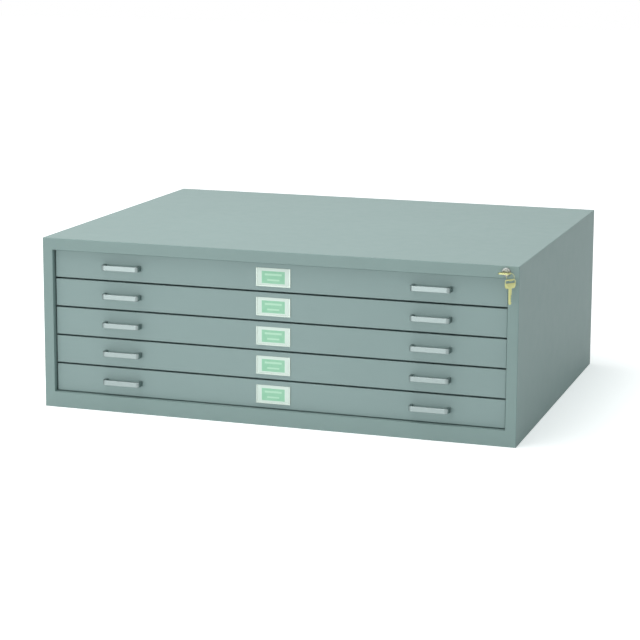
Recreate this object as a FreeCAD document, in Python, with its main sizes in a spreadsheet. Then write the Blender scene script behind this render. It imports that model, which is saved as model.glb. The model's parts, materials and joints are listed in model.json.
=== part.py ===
import FreeCAD, Part
import math
import os
import Sketcher

# Flat file cabinet for large sheets: a folded steel case with five shallow drawers.
# Millimetres. The origin is the middle of the base on the floor, +X to the right,
# +Z up, and the drawers open towards -Y.

os.makedirs("parts", exist_ok=True)
doc = FreeCAD.newDocument("flat_file_cabinet")

DRAWER_COUNT = 5

# Driving dimensions.
SIZES = {
    # case
    "case_width": 1178.0,
    "case_depth": 898.5,
    "case_height": 419.1,
    "case_sheet": 1.2,
    "bend_radius": 1.5,
    "stile_width": 25.4,
    "top_rail_height": 28.6,
    "bottom_rail_height": 38.1,
    "return_depth": 20.0,
    "back_flange": 14.0,
    "anchor_inset": 64.0,
    "anchor_hole_radius": 4.5,
    # posts and runners inside the case
    "post_inset": 54.25,
    "post_width": 32.0,
    "post_depth": 12.0,
    "post_sheet": 1.5,
    "runner_sheet": 1.5,
    "runner_front_inset": 37.25,
    "runner_rear_inset": 19.25,
    "runner_clearance": 2.0,
    "stop_height": 15.0,
    "stop_gap": 0.5,
    "running_gap": 0.1,
    "flange_gap": 0.5,
    # rollers and axles
    "axle_height": 26.0,
    "axle_radius": 3.0,
    "axle_fit": 0.05,
    "roller_radius": 9.0,
    "roller_width": 10.0,
    "roller_inset": 2.2,
    "axle_head_radius": 4.5,
    "axle_head": 1.1,
    "side_play": 0.2,
    "front_axle_inset": 49.25,
    "rear_axle_inset": 14.0,
    # drawer front
    "drawer_travel": 640.0,
    "drawer_gap": 4.0,
    "side_gap": 3.0,
    "front_recess": 12.0,
    "front_sheet": 1.2,
    "front_depth": 18.0,
    "front_lip": 9.0,
    # drawer pan
    "rail_width": 13.6,
    "pan_rear_gap": 53.5,
    "pan_inside_height": 50.8,
    "pan_sheet": 1.0,
    "pan_lift": 8.0,
    "rail_sheet": 1.2,
    "rail_leg": 7.0,
    "rail_end_gap": 3.0,
    "strike_height": 8.0,
    "strike_level": 44.0,
    "strike_sheet": 2.0,
    "strike_foot": 14.0,
    # rear hood and front depressor
    "hood_depth": 150.0,
    "hood_sheet": 1.0,
    "hood_lip": 6.0,
    "hood_skirt": 7.0,
    "flap_depth": 140.0,
    "flap_sheet": 1.0,
    "flap_side_gap": 1.0,
    "flap_floor_gap": 0.8,
    "flap_setback": 1.2,
    "flap_notch_radius": 16.0,
    "hinge_setback": 9.0,
    "hinge_pin_radius": 1.5,
    "hinge_fit": 0.05,
    "hinge_wall": 1.65,
    "knuckle_length": 30.0,
    # pulls
    "pull_offset": 384.0,
    "pull_length": 96.0,
    "pull_height": 12.5,
    "pull_projection": 23.0,
    "pull_bar": 4.0,
    "pull_leg": 7.0,
    "pull_outer_radius": 9.0,
    "pull_inner_radius": 4.0,
    "pull_edge_radius": 1.2,
    "screw_radius": 2.0,
    "screw_grip": 8.0,
    "screw_fit": 0.05,
    "screw_hole_play": 0.2,
    "screw_head_radius": 3.6,
    "screw_head": 2.4,
    # label holder and card
    "label_width": 85.0,
    "label_height": 44.0,
    "label_plate": 0.6,
    "label_slot": 0.8,
    "label_lip": 3.0,
    "label_wall": 1.0,
    "card_sheet": 0.5,
    "card_play": 0.3,
    # lock
    "lock_side_inset": 30.0,
    "bezel_radius": 10.5,
    "bezel_height": 2.0,
    "barrel_radius": 8.5,
    "barrel_length": 22.25,
    "barrel_play": 0.1,
    "nut_radius": 11.5,
    "nut_height": 4.0,
    "plug_radius": 6.0,
    "plug_fit": 0.05,
    "plug_proud": 0.75,
    "plug_overrun": 3.0,
    "cam_radius": 9.5,
    "cam_thickness": 2.0,
    "crank_radius": 7.0,
    "crank_pin_radius": 1.5,
    "crank_slot_play": 0.5,
    "bar_sheet": 3.0,
    "bar_width": 18.0,
    "bar_side_gap": 3.8,
    "bar_gap": 4.0,
    "lug_reach": 15.0,
    "lug_height": 8.0,
    "lug_clearance": 1.0,
    "guide_height": 12.0,
    "guide_sheet": 1.5,
    "guide_play": 1.5,
    "guide_reach": 13.0,
    # keys
    "key_thickness": 2.0,
    "key_play": 0.15,
    "blade_width": 8.2,
    "blade_length": 24.0,
    "blade_point": 4.0,
    "neck_length": 3.0,
    "bow_width": 29.0,
    "bow_length": 21.0,
    "bow_radius": 6.0,
    "bow_rim": 3.0,
    "bow_side_rim": 1.5,
    "bow_slot": 6.0,
    "ring_radius": 9.0,
    "ring_wire": 0.9,
    "ring_slack": 1.4,
    "spare_blade_length": 34.0,
    "spare_turn": 50.0,
}

sheet = doc.addObject("Spreadsheet::Sheet", "Sizes")
for row, (alias, number) in enumerate(SIZES.items(), start=1):
    sheet.set(f"A{row}", alias)
    sheet.set(f"B{row}", str(number))
    sheet.setAlias(f"B{row}", alias)
doc.recompute()


class Length:
    """A size: the number that it has now, and the expression on the sheet that gives it."""

    def __init__(self, value, text):
        self.value = value
        self.text = text

    def __add__(self, other):
        other = length(other)
        return Length(self.value + other.value, f"({self.text} + {other.text})")

    def __sub__(self, other):
        other = length(other)
        return Length(self.value - other.value, f"({self.text} - {other.text})")

    def __mul__(self, other):
        other = length(other)
        return Length(self.value * other.value, f"({self.text} * {other.text})")

    def __truediv__(self, other):
        other = length(other)
        return Length(self.value / other.value, f"({self.text} / {other.text})")

    def __radd__(self, other):
        return length(other) + self

    def __rsub__(self, other):
        return length(other) - self

    def __rmul__(self, other):
        return length(other) * self

    def __neg__(self):
        return length(0) - self


def length(item):
    return item if isinstance(item, Length) else Length(float(item), repr(float(item)))


def size(alias):
    return Length(float(sheet.get(alias)), f"Sizes.{alias}")


def bind(item, prop, amount):
    item.setExpression(prop, length(amount).text)


# Levels and faces that several pieces share.
case_half = size("case_width") / 2
case_front = -size("case_depth") / 2
case_back = size("case_depth") / 2
case_sheet = size("case_sheet")
side_inside = case_half - case_sheet
roof = size("case_height") - case_sheet
opening_half = case_half - size("stile_width")
opening_top = size("case_height") - size("top_rail_height")
return_back = case_front + size("return_depth")
drawer_pitch = (opening_top - size("bottom_rail_height")) / DRAWER_COUNT

front_half = opening_half - size("side_gap")
front_face = case_front + size("front_recess")
front_back = front_face + size("front_depth")
front_low = size("drawer_gap") / 2
front_high = drawer_pitch - size("drawer_gap") / 2
front_middle = drawer_pitch / 2

pan_sheet = size("pan_sheet")
pan_half = front_half - size("rail_width")
pan_front = front_back
pan_back = case_back - size("pan_rear_gap")
pan_floor = size("pan_lift") + pan_sheet
pan_top = pan_floor + size("pan_inside_height")

post_face = side_inside - size("post_depth")
web_face = post_face - size("runner_sheet")
front_axle = case_front + size("front_axle_inset")
rear_axle = pan_back - size("rear_axle_inset")
axle_height = size("axle_height")
roller_reach = size("roller_radius") + size("running_gap")
rail_low = axle_height + roller_reach
rail_high = rail_low + size("rail_sheet")
roller_inner = pan_half + size("roller_inset")
roller_outer = roller_inner + size("roller_width")

lock_x = case_half - size("lock_side_inset")
lock_z = size("case_height") - size("top_rail_height") / 2
barrel_back = case_front + size("barrel_length")
cam_front = barrel_back + size("plug_overrun")
cam_back = cam_front + size("cam_thickness")
bar_front = cam_back + size("bar_gap")
bar_back = bar_front + size("bar_sheet")
bar_right = side_inside - size("bar_side_gap")
bar_left = bar_right - size("bar_width")
strike_front = bar_back + size("lug_clearance")
plug_front = case_front - size("bezel_height") - size("plug_proud")
crank_reach = size("crank_radius") * math.cos(math.radians(45))

hinge_y = pan_front + pan_sheet + size("hinge_setback")
knuckle_radius = size("hinge_pin_radius") + size("hinge_fit") + size("hinge_wall")
flap_low = pan_floor + size("flap_floor_gap")
hinge_z = flap_low + knuckle_radius


def cell(number):
    """Height of the bottom of a drawer's space. Drawer 1 is the top one."""
    return size("bottom_rail_height") + drawer_pitch * (DRAWER_COUNT - number)


def finish(item, label, lift=0):
    """Names a finished piece and lifts it to its drawer's space."""
    item.Label = label
    bind(item, "Placement.Base.z", lift)
    finished.append(item)
    return item


finished = []


def box(name, x, y, z):
    item = doc.addObject("Part::Box", name)
    for prop, place, span in (("Length", "x", x), ("Width", "y", y), ("Height", "z", z)):
        bind(item, prop, length(span[1]) - span[0])
        bind(item, f"Placement.Base.{place}", span[0])
    return item


def turned(item, axis, centre, start):
    """Lays a primitive along an axis, from a start on it, with its centre line at centre."""
    if axis == "x":
        item.Placement.Rotation = FreeCAD.Rotation(FreeCAD.Vector(0, 1, 0), 90)
        places = {"x": start, "y": centre[0], "z": centre[1]}
    elif axis == "y":
        item.Placement.Rotation = FreeCAD.Rotation(FreeCAD.Vector(1, 0, 0), -90)
        places = {"x": centre[0], "y": start, "z": centre[1]}
    else:
        places = {"x": centre[0], "y": centre[1], "z": start}
    for place, amount in places.items():
        bind(item, f"Placement.Base.{place}", amount)
    return item


def cylinder(name, axis, centre, span, radius):
    item = doc.addObject("Part::Cylinder", name)
    bind(item, "Radius", radius)
    bind(item, "Height", length(span[1]) - span[0])
    return turned(item, axis, centre, span[0])


def fuse(name, items):
    item = doc.addObject("Part::MultiFuse", name)
    item.Shapes = items
    item.Refine = True
    return item


def cut(name, base, tool):
    item = doc.addObject("Part::Cut", name)
    item.Base = base
    item.Tool = tool
    return item


def group(name, items):
    item = doc.addObject("Part::Compound", name)
    item.Links = items
    return item


def new_body(name):
    return doc.addObject("PartDesign::Body", name)


def sketch_on(body, name, plane, level):
    """A sketch parallel to an origin plane. Level is the plane's own coordinate."""
    sketch = body.newObject("Sketcher::SketchObject", name)
    support = next(item for item in body.Origin.OriginFeatures if item.Role == plane)
    sketch.AttachmentSupport = [(support, "")]
    sketch.MapMode = "FlatFace"
    offset = -length(level) if plane == "XZ_Plane" else length(level)
    bind(sketch, "AttachmentOffset.Base.z", offset)
    return sketch


def fix_point(sketch, geometry, end, point):
    for kind, amount in zip(("DistanceX", "DistanceY"), point):
        amount = length(amount)
        index = sketch.addConstraint(Sketcher.Constraint(kind, -1, 1, geometry, end, amount.value))
        sketch.setExpression(f"Constraints[{index}]", amount.text)


def polygon(sketch, points):
    """A closed outline whose corners are tied to sizes on the sheet."""
    corners = [FreeCAD.Vector(length(x).value, length(y).value, 0) for x, y in points]
    first = sketch.GeometryCount
    count = len(corners)
    for index, corner in enumerate(corners):
        sketch.addGeometry(Part.LineSegment(corner, corners[(index + 1) % count]), False)
    for index, point in enumerate(points):
        following = first + (index + 1) % count
        sketch.addConstraint(Sketcher.Constraint("Coincident", first + index, 2, following, 1))
        fix_point(sketch, first + index, 1, point)


def rectangle(sketch, x, y):
    polygon(sketch, [(x[0], y[0]), (x[1], y[0]), (x[1], y[1]), (x[0], y[1])])


def circle(sketch, centre, radius):
    middle = FreeCAD.Vector(length(centre[0]).value, length(centre[1]).value, 0)
    normal = FreeCAD.Vector(0, 0, 1)
    index = sketch.addGeometry(Part.Circle(middle, normal, length(radius).value), False)
    fix_point(sketch, index, 3, centre)
    last = sketch.addConstraint(Sketcher.Constraint("Radius", index, length(radius).value))
    sketch.setExpression(f"Constraints[{last}]", length(radius).text)


def pad(body, sketch, amount):
    """Raises a sketch towards +Y, or +Z if it lies flat."""
    item = body.newObject("PartDesign::Pad", sketch.Name + "_pad")
    item.Profile = sketch
    item.Reversed = sketch.AttachmentSupport[0][0].Role == "XZ_Plane"
    bind(item, "Length", amount)
    doc.recompute()
    return item


def pocket(body, sketch, amount):
    """Cuts a sketch towards +Y, or -Z if it lies flat."""
    before = body.Shape.Volume
    item = body.newObject("PartDesign::Pocket", sketch.Name + "_pocket")
    item.Profile = sketch
    bind(item, "Length", amount)
    doc.recompute()
    if body.Shape.Volume > before - 0.001:
        raise RuntimeError(f"{item.Name} cuts nothing")
    return item


def round_edges(body, feature, radius, wanted):
    """Fillets the edges of a feature for which wanted(low corner, high corner) is true."""
    names = []
    for index, edge in enumerate(feature.Shape.Edges, start=1):
        ends = edge.BoundBox
        low = (ends.XMin, ends.YMin, ends.ZMin)
        high = (ends.XMax, ends.YMax, ends.ZMax)
        if wanted(low, high):
            names.append(f"Edge{index}")
    item = body.newObject("PartDesign::Fillet", feature.Name + "_fillet")
    item.Base = (feature, names)
    bind(item, "Radius", radius)
    doc.recompute()
    return item


def near(value, target):
    return abs(value - length(target).value) < 0.01


def on_plane(low, high, axis, level):
    """Whether an edge lies in the plane across an axis at a level."""
    return near(low[axis], level) and near(high[axis], level)


def make_case_wrapper():
    """Top, sides, stiles and top rail, folded from one sheet."""
    body = new_body("case_wrapper")
    height = size("case_height")
    shell = sketch_on(body, "wrapper_section", "XZ_Plane", case_front)
    polygon(shell, [
        (-case_half, 0), (-case_half, height), (case_half, height), (case_half, 0),
        (side_inside, 0), (side_inside, roof), (-side_inside, roof), (-side_inside, 0),
    ])
    pad(body, shell, size("case_depth"))
    face = sketch_on(body, "wrapper_face", "XZ_Plane", case_front)
    polygon(face, [
        (-case_half, 0), (-case_half, height), (case_half, height), (case_half, 0),
        (opening_half, 0), (opening_half, opening_top),
        (-opening_half, opening_top), (-opening_half, 0),
    ])
    pad(body, face, case_sheet)
    returns = sketch_on(body, "wrapper_returns", "XZ_Plane", case_front)
    outer = opening_half + case_sheet
    polygon(returns, [
        (-outer, 0), (-outer, opening_top + case_sheet), (outer, opening_top + case_sheet),
        (outer, 0), (opening_half, 0), (opening_half, opening_top),
        (-opening_half, opening_top), (-opening_half, 0),
    ])
    folded = pad(body, returns, size("return_depth"))

    def outside_bend(low, high):
        left = on_plane(low, high, 0, -case_half)
        right = on_plane(low, high, 0, case_half)
        top = on_plane(low, high, 2, height)
        front = on_plane(low, high, 1, case_front)
        return (top and (left or right or front)) or (front and (left or right))

    round_edges(body, folded, size("bend_radius"), outside_bend)
    hole = sketch_on(body, "lock_hole", "XZ_Plane", case_front)
    circle(hole, (lock_x, lock_z), size("barrel_radius") + size("barrel_play"))
    pocket(body, hole, case_sheet * 2)
    finish(body, "case_wrapper")


def make_back_panel():
    body = new_body("back_panel")
    plate = sketch_on(body, "back_plate", "XZ_Plane", case_back - case_sheet)
    rectangle(plate, (-side_inside, side_inside), (case_sheet, roof))
    pad(body, plate, case_sheet)
    rim = sketch_on(body, "back_rim", "XZ_Plane", case_back - size("back_flange"))
    rectangle(rim, (-side_inside, side_inside), (case_sheet, roof))
    inner = side_inside - case_sheet
    rectangle(rim, (-inner, inner), (case_sheet * 2, roof - case_sheet))
    pad(body, rim, size("back_flange"))
    finish(body, "back_panel")


def make_base_pan():
    """Floor of the case, folded up at the front into the bottom rail."""
    body = new_body("base_pan")
    floor = sketch_on(body, "base_floor", "XY_Plane", 0)
    polygon(floor, [
        (-opening_half, case_front), (opening_half, case_front), (opening_half, return_back),
        (side_inside, return_back), (side_inside, case_back), (-side_inside, case_back),
        (-side_inside, return_back), (-opening_half, return_back),
    ])
    across = case_half - size("anchor_inset")
    along = case_back - size("anchor_inset")
    for x, y in ((-across, -along), (across, -along), (across, along), (-across, along)):
        circle(floor, (x, y), size("anchor_hole_radius"))
    pad(body, floor, case_sheet)
    rail = sketch_on(body, "bottom_rail", "XZ_Plane", case_front)
    rectangle(rail, (-opening_half, opening_half), (0, size("bottom_rail_height")))
    pad(body, rail, case_sheet)
    shelf = sketch_on(body, "bottom_rail_return", "XZ_Plane", case_front)
    top = size("bottom_rail_height")
    rectangle(shelf, (-opening_half, opening_half), (top - case_sheet, top))
    pad(body, shelf, size("return_depth"))
    finish(body, "base_pan")


def make_post(name, side, low_y):
    """A channel section post that stands against the side of the case."""
    body = new_body(name)
    section = sketch_on(body, name + "_section", "XY_Plane", case_sheet)
    wall = size("post_sheet")
    high_y = low_y + size("post_width")
    corners = [
        (side_inside, low_y), (side_inside, low_y + wall), (post_face + wall, low_y + wall),
        (post_face + wall, high_y - wall), (side_inside, high_y - wall), (side_inside, high_y),
        (post_face, high_y), (post_face, low_y),
    ]
    polygon(section, [(x * side, y) for x, y in corners])
    pad(body, section, roof - case_sheet)
    return body


def make_guide(name, low_z, post_front):
    """A clip on the front right post that keeps the lock bar upright."""
    wall = size("guide_sheet")
    back = bar_back + size("guide_play")
    front = bar_front - size("guide_play")
    inner = side_inside - size("bar_side_gap") - size("guide_reach") + size("guide_play")
    z = (low_z, low_z + size("guide_height"))
    arm = side_inside - size("bar_side_gap") + size("guide_play") / 2
    pieces = [
        box(name + "_arm", (arm, side_inside), (front - wall, post_front), z),
        box(name + "_front", (inner, side_inside), (front - wall, front), z),
        box(name + "_back", (inner, side_inside), (back, back + wall), z),
    ]
    return pieces


def make_interior_uprights():
    front_low = case_front + size("post_inset")
    rear_low = case_back - size("post_inset") - size("post_width")
    guides = []
    for name, number in (("upper_guide", 2), ("lower_guide", DRAWER_COUNT)):
        low = cell(number) + pan_top
        guides += make_guide(name, low, front_low)
    guided = fuse("front_right_post_guided", [make_post("front_right_post", 1, front_low)] + guides)
    posts = [guided, make_post("front_left_post", -1, front_low)]
    posts += [make_post("rear_right_post", 1, rear_low), make_post("rear_left_post", -1, rear_low)]
    finish(group("interior_uprights", posts), "interior_uprights")


def make_runner(name, side, lift):
    """A channel on the posts. The drawer's rear roller runs in it, and two stops end its travel."""
    wall = size("runner_sheet")
    front = case_front + size("runner_front_inset")
    back = case_back - size("runner_rear_inset")
    inner = pan_half + size("runner_clearance")
    floor = axle_height - roller_reach
    ceiling = rail_high + size("flange_gap")
    behind_roller = front_axle + size("roller_radius") + size("rail_end_gap")
    stop_at = roller_reach + size("stop_gap")
    front_stop = rear_axle - size("drawer_travel") - stop_at
    rear_stop = rear_axle + stop_at
    stop_z = (floor, floor + size("stop_height"))
    parts = {
        "web": ((web_face, post_face), (front, back), (floor - wall, ceiling + wall)),
        "floor": ((inner, post_face), (behind_roller, back), (floor - wall, floor)),
        "ceiling": ((inner, post_face), (front, back), (ceiling, ceiling + wall)),
        "front_stop": ((roller_inner, web_face), (front_stop - wall, front_stop), stop_z),
        "rear_stop": ((roller_inner, web_face), (rear_stop, rear_stop + wall), stop_z),
    }
    pieces = []
    for part, (x, y, z) in parts.items():
        across = x if side > 0 else (-x[1], -x[0])
        raised = (z[0] + lift, z[1] + lift)
        pieces.append(box(f"{name}_{part}", across, y, raised))
    return fuse(name, pieces)


def mirrored(span, side):
    return span if side > 0 else (-span[1], -span[0])


def make_front_axle(name, side, lift):
    """A stud on the runner's web, with a collar behind the roller and a head in front of it."""
    centre = (front_axle, axle_height + lift)
    play = size("side_play")
    head = size("axle_head_radius")
    spans = {
        "stud": ((roller_inner - play, web_face), size("axle_radius")),
        "collar": ((roller_outer + play, web_face), head),
        "head": ((roller_inner - play - size("axle_head"), roller_inner - play), head),
    }
    pieces = []
    for part, (span, radius) in spans.items():
        pieces.append(cylinder(f"{name}_{part}", "x", centre, mirrored(span, side), radius))
    return fuse(name, pieces)


def make_case_runners():
    pieces = []
    for number in range(1, DRAWER_COUNT + 1):
        for side, word in ((-1, "left"), (1, "right")):
            pieces.append(make_runner(f"runner_{number}_{word}", side, cell(number)))
            pieces.append(make_front_axle(f"front_axle_{number}_{word}", side, cell(number)))
    finish(group("case_runners", pieces), "case_runners")


def make_roller(name, side, axle_y):
    centre = (axle_y, axle_height)
    span = mirrored((roller_inner, roller_outer), side)
    tyre = cylinder(name + "_tyre", "x", centre, span, size("roller_radius"))
    bore = cylinder(name + "_bore", "x", centre, span, size("axle_radius") + size("axle_fit"))
    return cut(name, tyre, bore)


def make_rollers(label, axle_y, lift):
    pair = [make_roller(label + "_left", -1, axle_y), make_roller(label + "_right", 1, axle_y)]
    finish(group(label, pair), label, lift)


def make_rail(name, side):
    """An angle on the side of the pan. Its flange rolls on the front roller."""
    rail_end = rear_axle - size("roller_radius") - size("rail_end_gap")
    flange_x = mirrored((pan_half, front_half), side)
    leg_x = mirrored((pan_half, pan_half + size("rail_sheet")), side)
    along = (pan_front, rail_end)
    leg_z = (rail_high, rail_high + size("rail_leg"))
    return fuse(name, [
        box(name + "_flange", flange_x, along, (rail_low, rail_high)),
        box(name + "_leg", leg_x, along, leg_z),
    ])


def make_strike(name):
    """A bracket on the right side of the pan, which a lug of the lock bar holds back."""
    wall = size("strike_sheet")
    z = (size("strike_level"), size("strike_level") + size("strike_height"))
    foot_y = (strike_front, strike_front + size("strike_foot"))
    return fuse(name, [
        box(name + "_face", (pan_half, front_half), (strike_front, strike_front + wall), z),
        box(name + "_foot", (pan_half, pan_half + wall), foot_y, z),
    ])


def make_pan(label, lift):
    """A pan welded from a bottom and four walls, with its rails and the strike."""
    inner = pan_half - pan_sheet
    along = (pan_front, pan_back)
    upright = (pan_floor, pan_top)
    front_wall = (pan_front, pan_front + pan_sheet)
    back_wall = (pan_back - pan_sheet, pan_back)
    pieces = [
        box(label + "_bottom", (-pan_half, pan_half), along, (size("pan_lift"), pan_floor)),
        box(label + "_front_wall", (-inner, inner), front_wall, upright),
        box(label + "_back_wall", (-inner, inner), back_wall, upright),
        make_strike(label + "_strike"),
    ]
    for side, word in ((-1, "left"), (1, "right")):
        wall_x = mirrored((inner, pan_half), side)
        pieces.append(box(f"{label}_{word}_wall", wall_x, along, upright))
        pieces.append(make_rail(f"{label}_{word}_rail", side))
    finish(group(label, pieces), label, lift)


def make_front(label, lift):
    """Drawer front: a face with its four edges folded back, and a lip along the back."""
    body = new_body(label)
    wall = size("front_sheet")
    full = ((-front_half, front_half), (front_low, front_high))
    face = sketch_on(body, label + "_face", "XZ_Plane", front_face)
    rectangle(face, *full)
    pad(body, face, wall)
    rim = sketch_on(body, label + "_rim", "XZ_Plane", front_face)
    rectangle(rim, *full)
    inner = front_half - wall
    rectangle(rim, (-inner, inner), (front_low + wall, front_high - wall))
    folded = pad(body, rim, size("front_depth"))

    def face_edge(low, high):
        return on_plane(low, high, 1, front_face)

    round_edges(body, folded, size("bend_radius"), face_edge)
    lip = sketch_on(body, label + "_lip", "XZ_Plane", front_back - wall)
    rectangle(lip, *full)
    inner = front_half - size("front_lip")
    rectangle(lip, (-inner, inner), (front_low + size("front_lip"), front_high - size("front_lip")))
    pad(body, lip, wall)
    holes = sketch_on(body, label + "_screw_holes", "XZ_Plane", front_face)
    radius = size("screw_radius") + size("screw_hole_play")
    for x in screw_places():
        circle(holes, (x, front_middle), radius)
    pocket(body, holes, wall * 2)
    finish(body, label, lift)


def screw_places():
    """The four screws of a drawer's two pulls, each in the middle of a leg."""
    reach = size("pull_length") / 2 - size("pull_leg") / 2
    places = []
    for pull_x in (-size("pull_offset"), size("pull_offset")):
        places += [pull_x - reach, pull_x + reach]
    return places


def make_pull(name, centre_x):
    """Cast pull: a bar on two legs, with soft edges and a screw hole in each leg."""
    body = new_body(name)
    half = size("pull_length") / 2
    leg = half - size("pull_leg")
    tip = front_face - size("pull_projection")
    bar_back_y = tip + size("pull_bar")
    low = front_middle - size("pull_height") / 2
    high = front_middle + size("pull_height") / 2
    outline = sketch_on(body, name + "_outline", "XY_Plane", low)
    polygon(outline, [
        (-half, front_face), (-half, tip), (half, tip), (half, front_face),
        (leg, front_face), (leg, bar_back_y), (-leg, bar_back_y), (-leg, front_face),
    ])
    blank = pad(body, outline, size("pull_height"))

    def outer_corner(a, b):
        upright = near(a[2], low) and near(b[2], high)
        return upright and near(a[1], tip) and near(b[1], tip)

    bent = round_edges(body, blank, size("pull_outer_radius"), outer_corner)

    def inner_corner(a, b):
        upright = near(a[2], low) and near(b[2], high)
        return upright and near(a[1], bar_back_y) and near(b[1], bar_back_y)

    bent = round_edges(body, bent, size("pull_inner_radius"), inner_corner)

    def long_edge(a, b):
        flat = on_plane(a, b, 2, low) or on_plane(a, b, 2, high)
        return flat and not on_plane(a, b, 1, front_face)

    round_edges(body, bent, size("pull_edge_radius"), long_edge)
    holes = sketch_on(body, name + "_screw_holes", "XZ_Plane", front_face - size("screw_grip"))
    reach = half - size("pull_leg") / 2
    for x in (-reach, reach):
        circle(holes, (x, front_middle), size("screw_radius") + size("screw_fit"))
    pocket(body, holes, size("screw_grip") * 2)
    bind(body, "Placement.Base.x", centre_x)
    return body


def make_pulls(label, lift):
    offset = size("pull_offset")
    pair = [make_pull(label + "_left", -offset), make_pull(label + "_right", offset)]
    finish(group(label, pair), label, lift)


def make_label_holder(label, lift):
    """A plate with a wall and a lip on three sides. The card slides in from above."""
    body = new_body(label)
    half = size("label_width") / 2
    low = front_middle - size("label_height") / 2
    high = front_middle + size("label_height") / 2
    plate_front = front_face - size("label_plate")
    slot_front = plate_front - size("label_slot")
    lip_front = slot_front - size("label_plate")
    plate = sketch_on(body, label + "_plate", "XZ_Plane", plate_front)
    rectangle(plate, (-half, half), (low, high))
    pad(body, plate, size("label_plate"))
    for name, level, edge, depth in (
        ("wall", slot_front, size("label_wall"), size("label_slot")),
        ("lip", lip_front, size("label_lip"), size("label_plate")),
    ):
        frame = sketch_on(body, f"{label}_{name}", "XZ_Plane", level)
        polygon(frame, [
            (-half, high), (-half, low), (half, low), (half, high),
            (half - edge, high), (half - edge, low + edge),
            (edge - half, low + edge), (edge - half, high),
        ])
        pad(body, frame, depth)
    finish(body, label, lift)


def make_label_card(label, lift):
    half = size("label_width") / 2 - size("label_wall") - size("card_play")
    low = front_middle - size("label_height") / 2 + size("label_wall") + size("card_play")
    high = front_middle + size("label_height") / 2
    back = front_face - size("label_plate") - size("card_play") / 2
    card = box(label, (-half, half), (back - size("card_sheet"), back), (low, high))
    card.Label = label
    bind(card, "Placement.Base.z", low + lift)
    finished.append(card)


def make_rear_hood(label, lift):
    """A cover over the back of the sheets, folded down round the pan's outside."""
    wall = size("hood_sheet")
    front = pan_back - size("hood_depth")
    top = pan_top + wall
    low = top - size("hood_skirt")
    inner = pan_half - pan_sheet - size("flap_side_gap")
    lip_z = (pan_top - size("hood_lip"), pan_top)
    pieces = [
        box(label + "_top", (-pan_half, pan_half), (front, pan_back), (pan_top, top)),
        box(label + "_lip", (-inner, inner), (front, front + wall), lip_z),
        box(label + "_back", (-pan_half, pan_half), (pan_back, pan_back + wall), (low, top)),
    ]
    for side, word in ((-1, "left"), (1, "right")):
        x = mirrored((pan_half, pan_half + wall), side)
        pieces.append(box(f"{label}_{word}", x, (front, pan_back + wall), (low, top)))
    finish(fuse(label, pieces), label, lift)


def make_depressor(label, lift):
    """A flap that holds the front of the sheets down, with a welded hinge knuckle at each end."""
    half = pan_half - pan_sheet - size("flap_side_gap")
    end = hinge_y + size("flap_depth")
    centre = (hinge_y, hinge_z)
    knuckles = []
    cuts = []
    for side, word in ((-1, "left"), (1, "right")):
        name = f"{label}_knuckle_{word}"
        span = mirrored((half - size("knuckle_length"), half), side)
        tube = cylinder(name + "_tube", "x", centre, span, knuckle_radius)
        bore_radius = size("hinge_pin_radius") + size("hinge_fit")
        bore = cylinder(name + "_bore", "x", centre, span, bore_radius)
        knuckles.append(cut(name, tube, bore))
        cuts.append(cylinder(name + "_seat", "x", centre, span, knuckle_radius))
    notch_z = (flap_low - size("flap_floor_gap"), flap_low + size("flap_sheet") * 2)
    cuts.append(cylinder(label + "_notch", "z", (0, end), notch_z, size("flap_notch_radius")))
    flap_y = (hinge_y + size("flap_setback"), end)
    plate = box(label + "_plate", (-half, half), flap_y, (flap_low, flap_low + size("flap_sheet")))
    flap = cut(label + "_flap", plate, fuse(label + "_cuts", cuts))
    finish(group(label, [flap] + knuckles), label, lift)


def make_rear_axle(name, side):
    """A stud on the pan's side, with a collar, and a head outside the roller."""
    centre = (rear_axle, axle_height)
    play = size("side_play")
    head = size("axle_head_radius")
    spans = {
        "stud": ((pan_half, roller_outer + play), size("axle_radius")),
        "collar": ((pan_half, roller_inner - play), head),
        "head": ((roller_outer + play, roller_outer + play + size("axle_head")), head),
    }
    pieces = []
    for part, (span, radius) in spans.items():
        pieces.append(cylinder(f"{name}_{part}", "x", centre, mirrored(span, side), radius))
    return fuse(name, pieces)


def make_fixings(label, lift):
    """What fastens a drawer together: roller axles, hinge pins and pull screws."""
    pieces = []
    for side, word in ((-1, "left"), (1, "right")):
        pieces.append(make_rear_axle(f"{label}_axle_{word}", side))
        wall = pan_half - pan_sheet
        span = mirrored((wall - size("knuckle_length") + size("flap_side_gap"), wall), side)
        centre = (hinge_y, hinge_z)
        pieces.append(cylinder(f"{label}_pin_{word}", "x", centre, span, size("hinge_pin_radius")))
    behind = front_face + size("front_sheet")
    for index, x in enumerate(screw_places(), start=1):
        name = f"{label}_screw_{index}"
        centre = (x, front_middle)
        tip = front_face - size("screw_grip") + size("side_play")
        shank = cylinder(name + "_shank", "y", centre, (tip, behind), size("screw_radius"))
        head_span = (behind, behind + size("screw_head"))
        head = cylinder(name + "_head", "y", centre, head_span, size("screw_head_radius"))
        pieces.append(fuse(name, [shank, head]))
    finish(group(label, pieces), label, lift)


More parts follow.
